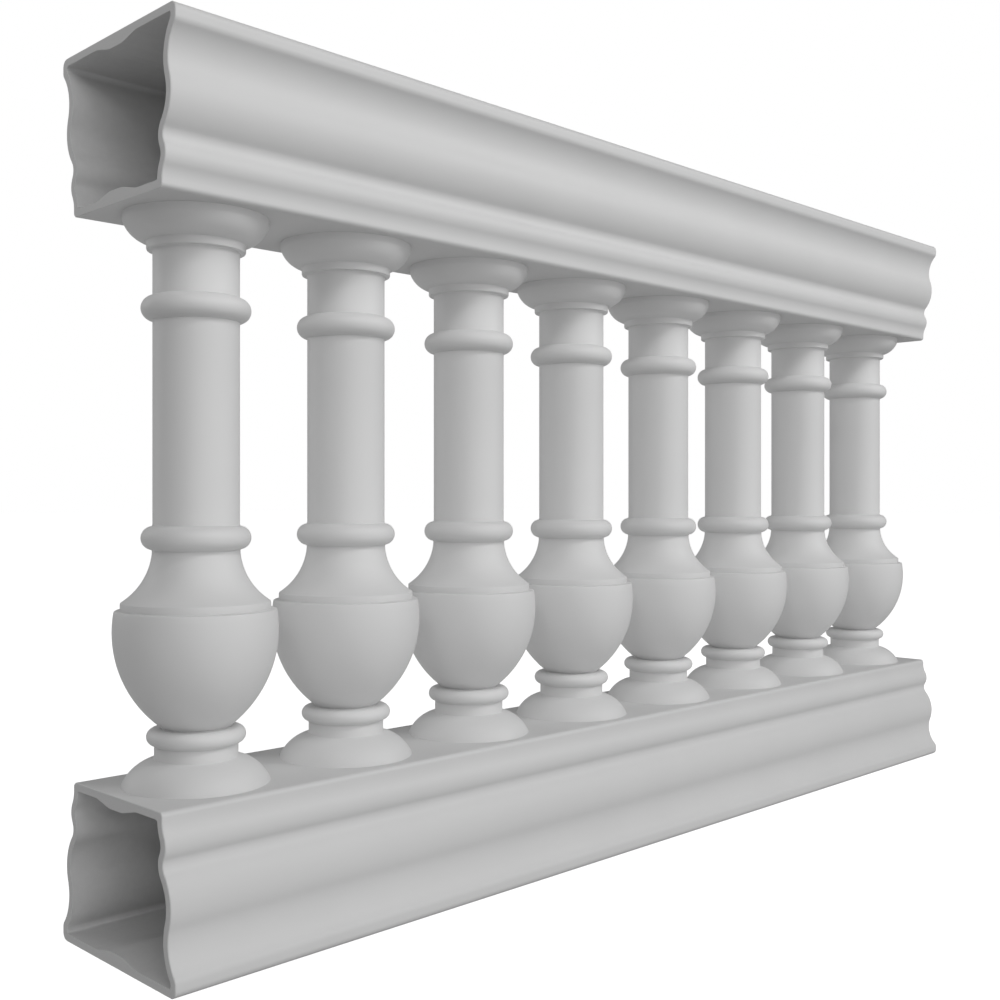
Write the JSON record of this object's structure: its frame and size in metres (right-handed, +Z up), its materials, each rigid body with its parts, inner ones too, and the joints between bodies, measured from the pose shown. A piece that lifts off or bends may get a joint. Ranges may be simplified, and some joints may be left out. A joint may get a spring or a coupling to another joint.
{
  "type": "fibreglass balustrade",
  "caption": "Straight balustrade section: a hollow moulded bottom rail, the same moulding turned over as the top rail, and a row of hollow turned-profile balusters between them.",
  "frame": {"origin": "on the floor, under the middle of the section", "axes": "+X along the rails, +Y across them, +Z up"},
  "size_m": [1.5358, 0.2238, 0.9144],
  "materials": {
    "rail_fibreglass": "glass-fibre laminate moulded in a sanded mould, matt off-white gelcoat",
    "baluster_fibreglass": "glass-fibre laminate moulded in a polished mould, matt off-white gelcoat"
  },
  "bodies": {
    "root": {"bottom_rail": "rail_fibreglass", "baluster_1": "baluster_fibreglass", "baluster_2": "baluster_fibreglass", "baluster_3": "baluster_fibreglass", "baluster_4": "baluster_fibreglass", "baluster_5": "baluster_fibreglass", "baluster_6": "baluster_fibreglass", "baluster_7": "baluster_fibreglass", "baluster_8": "baluster_fibreglass", "top_rail": "rail_fibreglass"}
  },
  "joints": []
}
